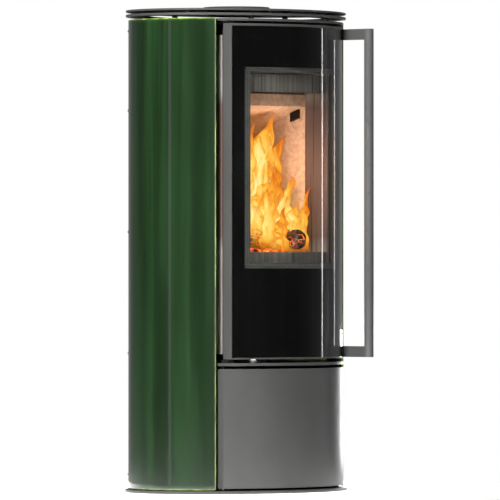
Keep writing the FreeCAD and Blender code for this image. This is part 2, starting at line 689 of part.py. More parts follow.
def make_handle():
    levels = ("handle_low", "handle_high")
    bar = rod("bar_blank", "handle_x", "handle_y", levels, "handle_rad")
    doc.recompute()
    edge = doc.addObject("Part::Fillet", "handle_bar")
    edge.Base = bar
    edge.Edges = [(k, 1.0, 1.0) for k, e in enumerate(bar.Shape.Edges, start=1) if e.Closed and e.BoundBox.ZLength < 0.01]
    node("handle_bar", edge)
    brackets = []
    spans = (("handle_low", "handle_low + bracket_tall"), ("handle_high - bracket_tall", "handle_high"))
    for k, zs in enumerate(spans):
        arm = block("arm_%d" % k, ("handle_x - bracket_half", "handle_x + bracket_half"), ("handle_y", "latch_y"), zs)
        nose = rod("arm_nose_%d" % k, "handle_x", "latch_y", zs, "bracket_half")
        brackets.append(cut("handle_bracket_%d" % k, fuse("arm_solid_%d" % k, arm, nose),
                            rod("arm_seat_%d" % k, "handle_x", "handle_y", (zs[0] + " - 1", zs[1] + " + 1"),
                                "handle_rad")))
    node("handle_brackets", group("handle_brackets", *brackets))
    inner = ("handle_low + bracket_tall", "handle_high - bracket_tall")
    node("latch_rod", rod("latch_rod", "handle_x", "latch_y", inner, "latch_rad"))
    cams = []
    for k, low in enumerate(("cam_low", "cam_high")):
        zs = (low, low + " + cam_tall")
        hub = rod("cam_hub_%d" % k, "handle_x", "latch_y", zs, "4.1")
        arm = block("cam_arm_%d" % k, ("handle_x - 2", "handle_x + 2"), ("latch_y", "latch_y + 14"), zs)
        toe = block("cam_toe_%d" % k, ("handle_x + 2", "handle_x + 4"), ("latch_y + 10", "latch_y + 14"), zs)
        bore = rod("cam_bore_%d" % k, "handle_x", "latch_y", (low + " - 1", low + " + cam_tall + 1"), "latch_rad + 0.05")
        cams.append(cut("latch_cam_%d" % k, fuse("cam_solid_%d" % k, hub, arm, toe), bore))
    node("latch_cams", group("latch_cams", *cams))


def make_hinges():
    pieces = []
    spans = ((("shelf_high", "door_low - 1.5"), ("door_low - 1.5", "door_low + 22")),
             (("door_high + 1.9", "trim_low"), ("door_high - 22", "door_high + 1.9")))
    for k, (plate_z, pin_z) in enumerate(spans):
        plate = block("hinge_plate_%d" % k, ("-208", "-186"), ("-153", "-134"), plate_z)
        pin = rod("hinge_pin_%d" % k, "hinge_x", "hinge_y", pin_z, "hinge_rad")
        pieces.append(fuse("hinge_bracket_%d" % k, plate, pin))
    node("hinge_brackets", group("hinge_brackets", *pieces))
    strikes = []
    for k, low in enumerate(("cam_low", "cam_high")):
        strikes.append(block("strike_%d" % k, ("handle_x + 5", "post_inner"), ("-140", "-126"),
                             (low + " - 4", low + " + cam_tall + 4")))
    node("latch_strikes", group("latch_strikes", *strikes))


make_casing()
make_rear()
make_firebox()
make_ash_pan()
make_fire()
make_flue()
slot_span = make_air_control()
make_store()
make_fire_door()
make_handle()
make_hinges()
doc.recompute()

# ---------------------------------------------------------------- slots for the air control stem
stem_half = "6"


def slotted(label, zs):
    """Cut the travel slot of the air control stem through a plate."""
    base = [n for n in nodes if n.Label == label][0]
    nodes.remove(base)
    base.Label = label + "_plain"
    tool = block(label + "_slot", mid(stem_half), slot_span, zs)
    node(label, cut(label + "_slotted", base, tool))


slotted("shelf_plate", ("shelf_low - 1", "shelf_high + 1"))
slotted("store_box", ("290", "301"))
doc.recompute()

for item in doc.Objects:
    if "Invalid" in item.State or "Error" in item.State:
        raise RuntimeError("feature in error: " + item.Name)
for item in nodes:
    shape = item.Shape
    if shape.isNull() or not shape.isValid():
        raise RuntimeError("bad shape: " + item.Label)
    shape.exportStep("parts/%s.step" % item.Label)
    print("%-20s solids %2d volume %12.1f" % (item.Label, len(shape.Solids), shape.Volume))
print(len(nodes), "nodes")
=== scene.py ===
"""Looks of the wood burning stove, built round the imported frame."""
import json
import math

import bpy
import numpy as np
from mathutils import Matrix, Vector


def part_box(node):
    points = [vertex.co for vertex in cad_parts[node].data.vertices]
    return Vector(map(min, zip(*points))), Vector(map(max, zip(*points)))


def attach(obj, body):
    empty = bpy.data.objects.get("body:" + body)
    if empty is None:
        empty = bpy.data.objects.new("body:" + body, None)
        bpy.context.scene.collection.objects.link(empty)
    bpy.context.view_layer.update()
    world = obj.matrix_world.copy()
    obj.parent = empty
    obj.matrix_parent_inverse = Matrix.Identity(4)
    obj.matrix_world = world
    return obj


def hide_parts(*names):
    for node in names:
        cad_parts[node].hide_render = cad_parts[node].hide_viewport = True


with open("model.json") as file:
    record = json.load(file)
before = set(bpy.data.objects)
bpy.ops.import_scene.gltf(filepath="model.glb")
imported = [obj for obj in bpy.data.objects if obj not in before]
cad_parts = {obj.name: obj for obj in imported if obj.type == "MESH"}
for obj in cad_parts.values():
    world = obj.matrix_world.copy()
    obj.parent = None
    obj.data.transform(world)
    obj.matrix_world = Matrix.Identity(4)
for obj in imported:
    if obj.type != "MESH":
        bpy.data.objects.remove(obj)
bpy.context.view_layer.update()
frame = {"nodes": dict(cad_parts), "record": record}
record = frame["record"]
nodes = frame["nodes"]
rng = np.random.default_rng(11)

# ---------------------------------------------------------------- plan of the stove
GLASS_SKIN = 0.004          # thickness of the door pane
SIDE_SKIN = 0.006           # thickness of the side panels
TOP_OVERHANG = 0.006        # how far the top plates stand out of the plan outline
RIM_ROUND = 0.0014          # rounding of the top plates' rims
RING_BAND = 0.04            # width of the ring plate's band
OUTLET_HOLE = 0.072         # radius of the hole under the flue cover
COVER_PLUG = 0.070          # radius of the cover's plug
CAMERA_DISTANCE = 16.66
CAMERA_HEIGHT = 0.5385
AIM_RIGHT, AIM_HEIGHT = 0.0326, 0.577
FLOOR_RADIUS = 0.8


def low(node):
    """Lowest corner of a CAD node."""
    return np.array(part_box(node)[0])


def high(node):
    """Highest corner of a CAD node."""
    return np.array(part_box(node)[1])


half_width = high("side_panel_right")[0]
half_depth = -low("door_glass")[1]
chord = high("door_glass")[0]
sagitta = high("door_glass")[1] - (low("door_glass")[1] + GLASS_SKIN)
FRONT_R = (chord ** 2 + sagitta ** 2) / (2 * sagitta) + GLASS_SKIN
SIDE_R = (2 * FRONT_R * half_depth - half_width ** 2 - half_depth ** 2) / (2 * (FRONT_R - half_width))
FRONT_C = FRONT_R - half_depth
SIDE_C = half_width - SIDE_R
JOIN = math.atan2(FRONT_C, SIDE_C)


def arc(cx, cy, radius, a0, a1, count):
    """Points c + r*(cos a, sin a) and their outward normals."""
    a = np.linspace(a0, a1, count)
    n = np.stack([np.cos(a), np.sin(a)], 1)
    return np.array([cx, cy]) + radius * n, n


def front_arc(x0, x1, count, rear=False):
    """Front (or rear) arc of the plan between two x values."""
    s = 1 if rear else -1
    a = [s * (math.pi / 2 - math.asin(x / FRONT_R)) for x in (x0, x1)]
    return arc(0, -s * FRONT_C, FRONT_R, a[0], a[1], count)


def side_arc(sign, half_y, count):
    """Side arc of the plan between -half_y and half_y."""
    a = math.asin(half_y / SIDE_R)
    base = 0 if sign > 0 else math.pi
    return arc(sign * SIDE_C, 0, SIDE_R, base - a, base + a, count)


def oval(count=96):
    """The whole four-centre outline, anticlockwise from the right."""
    k = count // 4
    bits = [arc(SIDE_C, 0, SIDE_R, -JOIN, JOIN, k + 1),
            arc(0, -FRONT_C, FRONT_R, JOIN, math.pi - JOIN, 2 * k + 1),
            arc(-SIDE_C, 0, SIDE_R, math.pi - JOIN, math.pi + JOIN, k + 1),
            arc(0, FRONT_C, FRONT_R, math.pi + JOIN, 2 * math.pi - JOIN, 2 * k + 1)]
    return np.concatenate([b[0][:-1] for b in bits]), np.concatenate([b[1][:-1] for b in bits])


# ---------------------------------------------------------------- meshes
def make(name, verts, faces, body, slot, mat, replaces=(), sharp=35, **attributes):
    """One piece: mesh, finish, body and the CAD nodes it stands for."""
    mesh = bpy.data.meshes.new(name)
    mesh.from_pydata([tuple(v) for v in verts], [], [tuple(int(i) for i in f) for f in faces])
    for key, values in attributes.items():
        mesh.attributes.new(key, "FLOAT", "POINT").data.foreach_set("value", np.asarray(values, np.float32))
    mesh.validate()
    mesh.shade_smooth()
    mesh.set_sharp_from_angle(angle=math.radians(sharp))
    obj = bpy.data.objects.new(name, mesh)
    bpy.context.scene.collection.objects.link(obj)
    mesh.materials.append(mat)
    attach(obj, body)
    if replaces:
        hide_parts(*replaces)
    return obj


def grid_faces(rows, cols, closed_rows=False, closed_cols=True):
    """Quads of a rows x cols lattice of points."""
    r = np.arange(rows if closed_rows else rows - 1)
    c = np.arange(cols if closed_cols else cols - 1)
    i, j = np.meshgrid(r, c, indexing="ij")
    i, j = i.ravel(), j.ravel()
    i2, j2 = (i + 1) % rows, (j + 1) % cols
    return np.stack([i * cols + j, i2 * cols + j, i2 * cols + j2, i * cols + j2], 1).tolist()


def sweep(path, profile, closed=False):
    """Closed skin: the profile loop of (out, z) carried along a plan path, p + out * normal.
    An open path is capped at both ends."""
    pts, nrm = path
    out, z = np.asarray(profile, float).T
    xy = pts[:, None, :] + out[None, :, None] * nrm[:, None, :]
    verts = np.concatenate([xy, np.broadcast_to(z[None, :, None], xy.shape[:2] + (1,))], 2).reshape(-1, 3)
    rows, cols = len(pts), len(z)
    faces = grid_faces(rows, cols, closed)
    if not closed:
        faces = faces + [list(range(cols)), list(range(rows * cols - 1, (rows - 1) * cols - 1, -1))]
    return verts, outward(verts, faces)


def outward(verts, faces):
    """Turns every face round when the closed skin's signed volume is negative."""
    total = 0.0
    v = np.asarray(verts)
    for f in faces:
        for k in range(1, len(f) - 1):
            total += np.dot(v[f[0]], np.cross(v[f[k]], v[f[k + 1]]))
    return [list(reversed(f)) for f in faces] if total < 0 else faces


def bar(out0, out1, z0, z1):
    return [(out0, z0), (out1, z0), (out1, z1), (out0, z1)]


def lip(out0, out1, z0, z1, radius, steps=5):
    """Rectangle in (out, z) whose outer two corners are rounded, as arcs of that radius."""
    pts = [(out0, z1), (out0, z0)]
    for cz, a0 in ((z0 + radius, -90), (z1 - radius, 0)):
        for k in range(steps + 1):
            a = math.radians(a0 + 90 * k / steps)
            pts.append((out1 - radius + radius * math.cos(a), cz + radius * math.sin(a)))
    return pts


def plate(z0, z1, overhang, radius, count=192, hole=None):
    """Oval plate with a rounded rim. Each ring is either the outline moved out, or the outline
    shrunk towards the middle (or towards a round hole) by a factor."""
    pts, nrm = oval(count)
    rim = lip(overhang - 2 * radius, overhang, z0, z1, radius)[2:]
    inner = np.zeros_like(pts) if hole is None else hole * pts / np.linalg.norm(pts, axis=1)[:, None]
    shrink = [1, 0.9, 0.7, 0.5, 0.3, 0.12, 0] if hole is None else [1, 0.75, 0.5, 0.25, 0]
    edge = pts + (overhang - radius) * nrm
    rings = [np.column_stack([inner + f * (edge - inner), np.full(len(pts), z0)]) for f in shrink[:0:-1]]
    rings += [np.column_stack([pts + o * nrm, np.full(len(pts), z)]) for o, z in rim]
    rings += [np.column_stack([inner + f * (edge - inner), np.full(len(pts), z1)]) for f in shrink[1:]]
    verts = np.concatenate(rings)
    if hole is None:
        verts = np.concatenate([rings[0][:1], *rings[1:-1], rings[-1][:1]])
        n = len(pts)
        body = grid_faces(len(rings) - 2, n)
        faces = [[1 + i for i in f] for f in body]
        last = 1 + (len(rings) - 2) * n
        for k in range(n):
            faces.append([0, 1 + (k + 1) % n, 1 + k])
            faces.append([last, last - n + k, last - n + (k + 1) % n])
    else:
        faces = grid_faces(len(rings), len(pts), closed_rows=True)
    return verts, outward(verts, faces)


def lathe(profile, centre, count=96):
    """Skin of a (radius, z) profile turned about an upright axis; ends on the axis are closed to a point."""
    a = np.linspace(0, 2 * math.pi, count, endpoint=False)
    verts, faces, rings = [], [], []
    for r, z in profile:
        if r < 1e-6:
            rings.append([len(verts)])
            verts.append((centre[0], centre[1], z))
        else:
            rings.append(list(range(len(verts), len(verts) + count)))
            verts += [(centre[0] + r * math.cos(t), centre[1] + r * math.sin(t), z) for t in a]
    for p, q in zip(rings, rings[1:]):
        for k in range(count):
            j = (k + 1) % count
            if len(p) == 1:
                faces.append([p[0], q[k], q[j]])
            elif len(q) == 1:
                faces.append([p[k], p[j], q[0]])
            else:
                faces.append([p[k], p[j], q[j], q[k]])
    return np.array(verts), outward(verts, faces)


def bevel(obj, width, segments=3, angle=40):
    mod = obj.modifiers.new("edge", "BEVEL")
    mod.width, mod.segments, mod.limit_method = width, segments, "ANGLE"
    mod.angle_limit = math.radians(angle)
    mod.harden_normals = False
    return obj


# ---------------------------------------------------------------- materials
def srgb(text):
    """Linear colour of an sRGB hex such as 'a0b0c0'."""
    c = np.array([int(text[k:k + 2], 16) / 255 for k in (0, 2, 4)])
    return (*np.where(c <= 0.04045, c / 12.92, ((c + 0.055) / 1.055) ** 2.4), 1.0)


def add(tree, kind, inputs=None, **props):
    """Adds a shader node; inputs maps socket names or numbers to values or to other sockets."""
    n = tree.nodes.new("ShaderNode" + kind)
    for key, value in props.items():
        setattr(n, key, value)
    for key, value in (inputs or {}).items():
        if isinstance(value, bpy.types.NodeSocket):
            tree.links.new(value, n.inputs[key])
        else:
            n.inputs[key].default_value = value
    return n


def surface(name, **inputs):
    """A new material: its tree, its principled shader and the object coordinates."""
    mat = bpy.data.materials.new(name)
    mat.use_nodes = True
    tree = mat.node_tree
    tree.nodes.clear()
    shader = add(tree, "BsdfPrincipled", inputs)
    out = add(tree, "OutputMaterial", {"Surface": shader.outputs[0]})
    where = add(tree, "TexCoord").outputs["Object"]
    return mat, tree, shader, where, out


def scaled(tree, where, x, y, z):
    return add(tree, "Mapping", {"Vector": where, "Scale": (x, y, z)}).outputs[0]


def noise(tree, where, scale, detail=3.0, rough=0.5, distortion=0.0):
    return add(tree, "TexNoise", {"Vector": where, "Scale": scale, "Detail": detail, "Roughness": rough,
                                  "Distortion": distortion}).outputs["Fac"]


def ramp(tree, value, *stops):
    """Colour ramp; stops are (position, hex colour)."""
    n = add(tree, "ValToRGB", {"Fac": value})
    while len(n.color_ramp.elements) < len(stops):
        n.color_ramp.elements.new(0.5)
    for e, (pos, colour) in zip(n.color_ramp.elements, stops):
        e.position, e.color = pos, srgb(colour)
    return n.outputs["Color"]


def remap(tree, value, a, b, lo, hi):
    return add(tree, "MapRange", {"Value": value, 1: a, 2: b, 3: lo, 4: hi}).outputs[0]


def math_node(tree, op, a, b=0.0):
    return add(tree, "Math", {0: a, 1: b}, operation=op).outputs[0]


def mix(tree, fac, a, b, blend="MIX"):
    n = add(tree, "Mix", {0: fac, 6: a, 7: b}, data_type="RGBA", blend_type=blend)
    return n.outputs[2]


def bump(tree, height, distance, strength=1.0, normal=None):
    inputs = {"Height": height, "Distance": distance, "Strength": strength}
    if normal is not None:
        inputs["Normal"] = normal
    return add(tree, "Bump", inputs).outputs[0]


def put(tree, shader, **links):
    for key, socket in links.items():
        tree.links.new(socket, shader.inputs[key.replace("_", " ")])


def green_glaze():
    """Glossy fired enamel: cloudy green with painted reflection streaks running upright, and a painted
    highlight of lighter green along the edges.
    """
    mat, t, s, w, _ = surface("vitreous_enamel_green", Roughness=0.3)
    s.inputs["Coat Weight"].default_value = 1.0
    s.inputs["Coat Roughness"].default_value = 0.06
    s.inputs["Coat IOR"].default_value = 1.55
    # painted reflection: upright streaks of lighter and darker green stand in for reflections running down
    # the glossy panel
    reflection_streaks = noise(t, scaled(t, w, 26, 26, 0.7), 1.0, 4, 0.55)
    cloud = noise(t, scaled(t, w, 7, 7, 1.6), 1.0, 3)
    cloud_and_reflection_streaks = math_node(t, "ADD", math_node(t, "MULTIPLY", reflection_streaks, 0.65), math_node(t, "MULTIPLY", cloud, 0.35))
    base = ramp(t, cloud_and_reflection_streaks, (0.3, "060f05"), (0.45, "0a1709"), (0.56, "10210f"), (0.72, "1f381b"))
    # painted highlight: the per-point edge value mixes the green towards light green 7c9c46, standing in for
    # light catching the panel edges
    edge = add(t, "Attribute", attribute_name="thin").outputs["Fac"]
    patches = noise(t, scaled(t, w, 60, 60, 14), 1.0, 3)
    patchy_edge_highlight = math_node(t, "MULTIPLY", edge, remap(t, patches, 0.3, 0.7, 0.7, 1.15))
    thinned = ramp(t, patchy_edge_highlight, (0.0, "000000"), (0.3, "2c2c2c"), (0.55, "585858"), (1.0, "ffffff"))
    colour = mix(t, thinned, base, srgb("7c9c46"))
    fleck = noise(t, scaled(t, w, 900, 900, 900), 1.0, 1)
    put(t, s, Base_Color=mix(t, remap(t, fleck, 0.66, 0.74, 0, 0.35), colour, srgb("10200c")))
    put(t, s, Roughness=remap(t, cloud, 0.3, 0.7, 0.22, 0.4))
    peel = noise(t, scaled(t, w, 120, 120, 45), 1.0, 2)
    wave = noise(t, scaled(t, w, 12, 12, 1.1), 1.0, 2)
    n = bump(t, peel, 0.00009, 0.6, bump(t, wave, 0.0009, 0.7))
    put(t, s, Normal=n, Coat_Normal=bump(t, wave, 0.0006, 0.5))
    return mat


def satin_paint(name, dark, light, metal, rough, grain=1500):
    """Heat-proof paint with a fine metallic grain, faint cloudiness and rubbed patches."""
    mat, t, s, w, _ = surface(name, Metallic=metal)
    grains = noise(t, w, grain, 2, 0.7)
    cloud = noise(t, scaled(t, w, 5, 5, 3), 1.0, 4, 0.6)
    tone = math_node(t, "ADD", math_node(t, "MULTIPLY", grains, 0.35), math_node(t, "MULTIPLY", cloud, 0.65))
    put(t, s, Base_Color=ramp(t, tone, (0.3, dark), (0.7, light)))
    rub = noise(t, scaled(t, w, 40, 40, 22), 1.0, 5, 0.65)
    put(t, s, Roughness=math_node(t, "ADD", remap(t, rub, 0.3, 0.7, rough - 0.03, rough + 0.05),
                                  remap(t, grains, 0.3, 0.7, -0.03, 0.03)))
    put(t, s, Normal=bump(t, grains, 0.00012, 0.5))
    return mat


def sheet_steel(name, dark, light, rough=0.34):
    """Rolled steel in the firebox: upright draw lines and a red-brown heat tint beside the fire."""
    mat, t, s, w, _ = surface(name, Metallic=0.35)
    lines = noise(t, scaled(t, w, 160, 160, 2.0), 1.0, 3, 0.6)
    tint = noise(t, scaled(t, w, 9, 9, 5), 1.0, 3)
    base = ramp(t, lines, (0.3, dark), (0.7, light))
    height = add(t, "SeparateXYZ", {0: w}).outputs[2]
    heated = math_node(t, "MULTIPLY", remap(t, height, 0.575, 0.61, 0, 1), remap(t, height, 0.92, 0.95, 1, 0))
    base = mix(t, math_node(t, "MULTIPLY", heated, 0.8), base, srgb("5a3c31"))
    put(t, s, Base_Color=mix(t, remap(t, tint, 0.45, 0.75, 0, 0.4), base, srgb("6b5544")))
    put(t, s, Roughness=remap(t, lines, 0.3, 0.7, rough - 0.1, rough + 0.14))
    put(t, s, Normal=bump(t, lines, 0.0003, 0.5))
    return mat


def vermiculite_board():
    """Pressed flakes: mottled buff board with pits and soot."""
    mat, t, s, w, _ = surface("vermiculite_board", Roughness=0.9)
    flakes = add(t, "TexVoronoi", {"Vector": w, "Scale": 260.0}).outputs["Distance"]
    mottle = noise(t, w, 90, 4, 0.6)
    soot = noise(t, scaled(t, w, 8, 8, 5), 1.0, 4, 0.6)
    base = ramp(t, mottle, (0.3, "b49a88"), (0.55, "cfb5a2"), (0.75, "e0ccbc"))
    put(t, s, Base_Color=mix(t, remap(t, soot, 0.5, 0.8, 0, 0.45), base, srgb("4d3d30")))
    put(t, s, Normal=bump(t, mottle, 0.0010, 0.6, bump(t, flakes, 0.0006, 0.5)))
    return mat


def cast_iron():
    """Sand-cast iron: dark, grainy and dull."""
    mat, t, s, w, _ = surface("cast_iron", Metallic=0.35, Roughness=0.6)
    sand = noise(t, w, 420, 4, 0.7)
    put(t, s, Base_Color=ramp(t, sand, (0.3, "161514"), (0.75, "34312e")))
    put(t, s, Roughness=remap(t, noise(t, w, 60, 3), 0.3, 0.7, 0.5, 0.75))
    put(t, s, Normal=bump(t, sand, 0.0005, 0.7))
    return mat


def turned_steel():
    """Turned steel with fine rings."""
    mat, t, s, w, _ = surface("turned_steel", Metallic=1.0)
    rings = noise(t, scaled(t, w, 40, 40, 2200), 1.0, 2)
    put(t, s, Base_Color=ramp(t, rings, (0.3, "7e7d7a"), (0.7, "a3a19d")))
    put(t, s, Roughness=remap(t, rings, 0.3, 0.7, 0.22, 0.38))
    put(t, s, Normal=bump(t, rings, 0.0001, 0.4))
    return mat


def clear_glass():
    """Heat-proof ceramic glass."""
    mat, t, s, w, _ = surface("heatproof_glass_clear", Roughness=0.0, IOR=1.5)
    s.inputs["Transmission Weight"].default_value = 1.0
    haze = noise(t, scaled(t, w, 14, 14, 4), 1.0, 4, 0.6)
    put(t, s, Base_Color=ramp(t, haze, (0.35, "f6f8f6"), (0.75, "eceeea")))
    put(t, s, Normal=bump(t, noise(t, scaled(t, w, 22, 22, 0.9), 1.0, 2), 0.0002, 0.35))
    return mat


def fired_print():
    """Black print fired on the back of the glass."""
    mat, t, s, w, _ = surface("fired_black_print", Roughness=0.35)
    s.inputs["Specular IOR Level"].default_value = 0.12
    dust = noise(t, w, 1300, 2)
    streak = noise(t, scaled(t, w, 34, 34, 0.4), 1.0, 3, 0.6)
    base = ramp(t, streak, (0.35, "050505"), (0.6, "0b0b0c"), (0.78, "1c1c1d"))
    put(t, s, Base_Color=mix(t, remap(t, dust, 0.7, 0.8, 0, 0.3), base, srgb("202022")))
    put(t, s, Normal=bump(t, dust, 0.00004, 0.3))
    return mat


def glass_rope():
    """Braided glass-fibre rope: two crossed sets of strands from the piece's own along/round numbers."""
    mat, t, s, w, _ = surface("glass_fibre_rope", Roughness=0.8)
    along = add(t, "Attribute", attribute_name="along").outputs["Fac"]
    around = add(t, "Attribute", attribute_name="around").outputs["Fac"]
    up = math_node(t, "SINE", math_node(t, "ADD", math_node(t, "MULTIPLY", along, 1500.0),
                                        math_node(t, "MULTIPLY", around, 25.13)))
    down = math_node(t, "SINE", math_node(t, "SUBTRACT", math_node(t, "MULTIPLY", along, 1500.0),
                                          math_node(t, "MULTIPLY", around, 25.13)))
    weave = math_node(t, "MAXIMUM", up, down)
    fuzz = noise(t, w, 1100, 4, 0.7)
    tone = math_node(t, "ADD", math_node(t, "MULTIPLY", weave, 0.22), fuzz)
    put(t, s, Base_Color=ramp(t, tone, (0.3, "1b1b1a"), (0.55, "4a4a47"), (0.85, "7d7c77")))
    put(t, s, Normal=bump(t, weave, 0.0011, 0.9, bump(t, fuzz, 0.0004, 0.6)))
    return mat


def charred_wood():
    """Bark split into blocks: black char, grey ash on the ridges and a glow deep in the cracks."""
    mat, t, s, w, _ = surface("charred_log", Roughness=0.85)
    blocks = add(t, "TexVoronoi", {"Vector": scaled(t, w, 34, 95, 95), "Scale": 1.0},
                 feature="DISTANCE_TO_EDGE").outputs["Distance"]
    fine = noise(t, scaled(t, w, 60, 220, 220), 1.0, 5, 0.65)
    ash = noise(t, w, 38, 4, 0.6)
    base = ramp(t, fine, (0.3, "120c09"), (0.55, "3a2a20"), (0.75, "6e5a48"))
    put(t, s, Base_Color=mix(t, remap(t, ash, 0.5, 0.68, 0, 0.8), base, srgb("a89f96")))
    crack = remap(t, blocks, 0.0, 0.13, 1.0, 0.0)
    heat = remap(t, noise(t, w, 17, 2), 0.42, 0.62, 0.0, 1.0)
    glow = math_node(t, "MULTIPLY", crack, heat)
    cracks = ramp(t, glow, (0.2, "000000"), (0.5, "a52a05"), (0.8, "ff7a1e"), (1.0, "ffd27a"))
    put(t, s, Emission_Color=cracks)
    s.inputs["Emission Strength"].default_value = 1.6
    put(t, s, Normal=bump(t, blocks, 0.004, 0.8, bump(t, fine, 0.0012, 0.7)))
    return mat


def live_embers():
    """Ash-grey coals with glowing cracks."""
    mat, t, s, w, _ = surface("ember_and_ash", Roughness=0.9)
    lumps = noise(t, w, 85, 5, 0.65)
    ash = noise(t, w, 30, 3)
    base = ramp(t, lumps, (0.3, "0d0a09"), (0.6, "332b26"), (0.75, "8a8178"))
    put(t, s, Base_Color=mix(t, remap(t, ash, 0.5, 0.7, 0, 0.7), base, srgb("b3aba2")))
    heat = noise(t, w, 55, 3, 0.6, 0.6)
    coals = ramp(t, heat, (0.42, "000000"), (0.5, "8f1f04"), (0.58, "ff5d12"), (0.7, "ffb347"))
    put(t, s, Emission_Color=coals)
    s.inputs["Emission Strength"].default_value = 2.2
    put(t, s, Normal=bump(t, lumps, 0.003, 0.8))
    return mat


def fire_gas():
    """Flame: glows by its height and core, and thins out towards its edges in stretched wisps."""
    mat, t, s, w, out = surface("flame_gas")
    rise = add(t, "Attribute", attribute_name="rise").outputs["Fac"]
    heart = add(t, "Attribute", attribute_name="heart").outputs["Fac"]
    face = add(t, "LayerWeight", {"Blend": 0.35}).outputs["Facing"]
    wisps = noise(t, scaled(t, w, 38, 38, 13), 1.0, 4, 0.6, 1.4)
    body = math_node(t, "SUBTRACT", 1.0, face)
    dense = math_node(t, "MULTIPLY", math_node(t, "POWER", body, 0.9), remap(t, wisps, 0.30, 0.55, 0.25, 1.0))
    fade = remap(t, rise, 0.75, 1.0, 1.0, 0.4)
    dense = math_node(t, "MULTIPLY", dense, fade)
    dense = math_node(t, "MULTIPLY", dense, remap(t, rise, 0.06, 0.30, 0.08, 1.0))
    hot = math_node(t, "ADD", math_node(t, "MULTIPLY", dense, 0.75),
                    math_node(t, "MULTIPLY", math_node(t, "SUBTRACT", heart, rise), 0.45))
    colour = ramp(t, hot, (0.0, "b8420c"), (0.3, "f0801c"), (0.55, "ffb63c"), (0.8, "ffe37a"),
                  (1.0, "fff6b8"))
    glow = add(t, "Emission", {"Color": colour, "Strength": 1.25})
    clear = add(t, "BsdfTransparent", {"Color": (1, 1, 1, 1)})
    both = add(t, "MixShader", {0: math_node(t, "MINIMUM", math_node(t, "MULTIPLY", dense, 1.7), 0.96),
                                1: clear.outputs[0], 2: glow.outputs[0]})
    t.links.new(both.outputs[0], out.inputs["Surface"])
    t.nodes.remove(s)
    return mat


def knob_plastic():
    """Black phenolic moulding."""
    mat, t, s, w, _ = surface("phenolic_black", Roughness=0.45)
    put(t, s, Base_Color=ramp(t, noise(t, w, 900, 2), (0.3, "0c0c0c"), (0.7, "191919")))
    put(t, s, Normal=bump(t, noise(t, w, 1400, 2), 0.00005, 0.4))
    return mat


FINISH = {
    "green_enamel": green_glaze(),
    "grey_paint": satin_paint("metallic_grey_paint", "434342", "525251", 0.6, 0.33),
    "black_steel": satin_paint("matt_black_paint", "0e0e0e", "1b1b1b", 0.2, 0.5),
    "firebox_steel": sheet_steel("heat_toned_steel", "625f5b", "a09b95"),
    "spacer_steel": turned_steel(),
    "cast_iron": cast_iron(),
    "vermiculite": vermiculite_board(),
    "clear_glass": clear_glass(),
    "black_print": fired_print(),
    "rope": glass_rope(),
    "handle_steel": satin_paint("handle_grey_paint", "4a4a49", "5a5958", 0.55, 0.3, 1900),
    "knob_plastic": knob_plastic(),
    "wood_log": charred_wood(),
    "embers": live_embers(),
}
SLOT = {sub["node"]: sub["material_slot"] for sub in record["subparts"]}
BODY = {node: body for body, names in record["behaviour"]["bodies"].items() for node in names}

for label, obj in nodes.items():
    obj.data.materials.clear()
    obj.data.materials.append(FINISH[SLOT[label]])
    obj.data.shade_smooth()
    obj.data.set_sharp_from_angle(angle=math.radians(30))


def stands_for(name, label, shape, sharp=35, **attributes):
    """A finer piece with the body and finish of the CAD node that it stands for."""
    slot = SLOT[label]
    return make(name, shape[0], shape[1], BODY[label], slot, FINISH[slot], (label,), sharp, **attributes)


# ---------------------------------------------------------------- casing
def side_panels():
    """Curved glazed panels: a rounded bar carried round the side arc. A per-point value is 1 on the very edge
    of the panel and falls to 0 about 10 mm in; the glaze finish paints a lighter green highlight from it,
    standing in for light catching the edge."""
    for side, label in ((-1, "side_panel_left"), (1, "side_panel_right")):
        z0, z1 = low(label)[2], high(label)[2]
        half = high(label)[1]
        path = side_arc(side, half, 120)
        r = 0.0022
        steps = 26
        face = [(0.0, z0 + r + (z1 - z0 - 2 * r) * k / steps) for k in range(1, steps)]
        edge_z = [(0.0, z0 + q) for q in (0.004, 0.009)] + face + [(0.0, z1 - q) for q in (0.009, 0.004)]
        outline = lip(-SIDE_SKIN, 0.0, z0, z1, r, 4)
        cut = 2 + 5
        profile = outline[:cut] + edge_z + outline[cut:]
        verts, faces = sweep(path, profile)
        d_side = (half - np.abs(verts[:, 1]))
        d_top = np.minimum(verts[:, 2] - z0, z1 - verts[:, 2])
        # painted highlight mask: 1 on the panel edges, where the finish paints lighter green for light
        # catching the edge
        thin = np.clip(1 - np.minimum(d_side * 1.6, d_top) / 0.005, 0, 1) ** 0.8
        obj = stands_for("glazed_" + label, label, (verts, faces), thin=thin)
        bevel(obj, 0.0018, 4, 60)


def plates():
    """Base, top and ring plates with rounded rims, and the turned flue cover."""
    z = lambda label: (low(label)[2], high(label)[2])
    stands_for("base_plate_round_edge", "base_plate", plate(*z("base_plate"), 0.008, 0.0016))
    top = plate(*z("top_plate"), TOP_OVERHANG, RIM_ROUND, hole=OUTLET_HOLE)
    stands_for("top_plate_round_edge", "top_plate", top)
    width = TOP_OVERHANG - RING_BAND
    ring = sweep(oval(192), lip(width, TOP_OVERHANG, *z("top_ring"), RIM_ROUND), closed=True)
    stands_for("top_ring_round_edge", "top_ring", ring)
    r = high("flue_cover")[0]
    z1 = high("flue_cover")[2]
    z0 = high("top_plate")[2] + 0.0003
    zl = low("flue_cover")[2]
    arc_pts = [(r - 0.0025 + 0.0025 * math.cos(a), z1 - 0.0025 + 0.0025 * math.sin(a))
               for a in np.linspace(0, math.pi / 2, 7)]
    inner = COVER_PLUG - 0.003
    profile = [(0, z0 + 0.003), (inner, z0 + 0.003), (inner, zl), (COVER_PLUG, zl), (COVER_PLUG, z0),
               (r - 0.001, z0),
               (r, z0 + 0.001), *arc_pts, (r - 0.02, z1), (0, z1)]
    stands_for("flue_cover_turned", "flue_cover", lathe(profile, (0, 0)))


